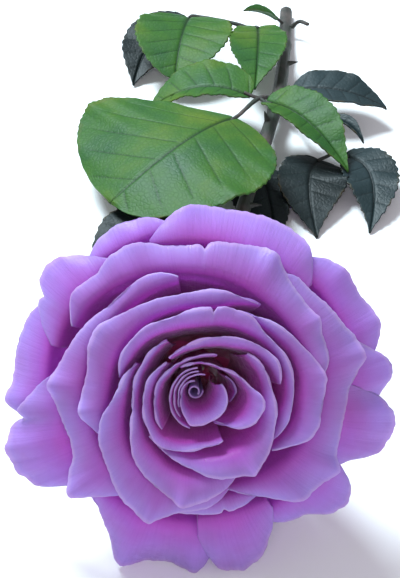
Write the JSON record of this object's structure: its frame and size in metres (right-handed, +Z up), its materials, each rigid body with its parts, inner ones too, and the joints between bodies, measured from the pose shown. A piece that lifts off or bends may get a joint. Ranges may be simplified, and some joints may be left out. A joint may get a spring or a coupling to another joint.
{
  "type": "preserved rose",
  "caption": "Cut preserved rose: a wide double lilac bloom on a short stem with compound green leaves, lying on a surface.",
  "frame": {"origin": "centre of the bounding box in plan, on the surface that the rose lies on", "axes": "+Z up; +Y from the bloom back along the stem to its cut end; +X to the right as the bloom is faced"},
  "size_m": [0.1004, 0.2496, 0.0702],
  "materials": {
    "petal": "soft matte petal, lilac at the lips and deep mauve-magenta towards the base",
    "leaf_light": "bright green, slightly waxed leaf with darker veins",
    "leaf_dark": "dark blue-green preserved leaf",
    "calyx": "dull green calyx and sepals",
    "stem": "grey-brown woody stem with a pale cut end"
  },
  "bodies": {
    "root": {"bud_core": "petal", "bud_petal_1": "petal", "bud_petal_2": "petal", "bud_petal_3": "petal", "bud_petal_4": "petal", "inner_petal_1": "petal", "inner_petal_2": "petal", "inner_petal_3": "petal", "inner_petal_4": "petal", "inner_petal_5": "petal", "middle_petal_1": "petal", "middle_petal_2": "petal", "middle_petal_3": "petal", "middle_petal_4": "petal", "middle_petal_5": "petal", "middle_petal_6": "petal", "middle_petal_7": "petal", "large_petal_1": "petal", "large_petal_2": "petal", "large_petal_3": "petal", "guard_petal_1": "petal", "guard_petal_2": "petal", "guard_petal_3": "petal", "guard_petal_4": "petal", "guard_petal_5": "petal", "guard_petal_6": "petal", "guard_petal_7": "petal", "guard_petal_8": "petal", "guard_petal_9": "petal", "guard_petal_10": "petal", "guard_petal_11": "petal", "hip": "calyx", "stem": "stem", "leaf_a_stalk": "stem", "leaf_a_leaflet_1": "leaf_light", "leaf_a_leaflet_2": "leaf_light", "leaf_a_leaflet_3": "leaf_light", "leaf_b_stalk": "stem", "leaf_b_leaflet_1": "leaf_light", "leaf_b_leaflet_2": "leaf_light", "leaf_b_leaflet_3": "leaf_dark", "leaf_b_stipule": "leaf_light", "leaf_c_stalk": "stem", "leaf_c_leaflet_1": "leaf_dark", "leaf_c_leaflet_2": "leaf_dark", "leaf_c_leaflet_3": "leaf_dark", "leaf_c_leaflet_4": "leaf_dark", "leaf_d_stalk": "stem", "leaf_d_leaflet_1": "leaf_dark", "leaf_d_leaflet_2": "leaf_dark", "leaf_d_leaflet_3": "leaf_dark", "dry_twig": "stem", "sepal_1": "calyx", "sepal_2": "calyx", "sepal_3": "calyx", "sepal_4": "calyx", "sepal_5": "calyx"}
  },
  "joints": []
}
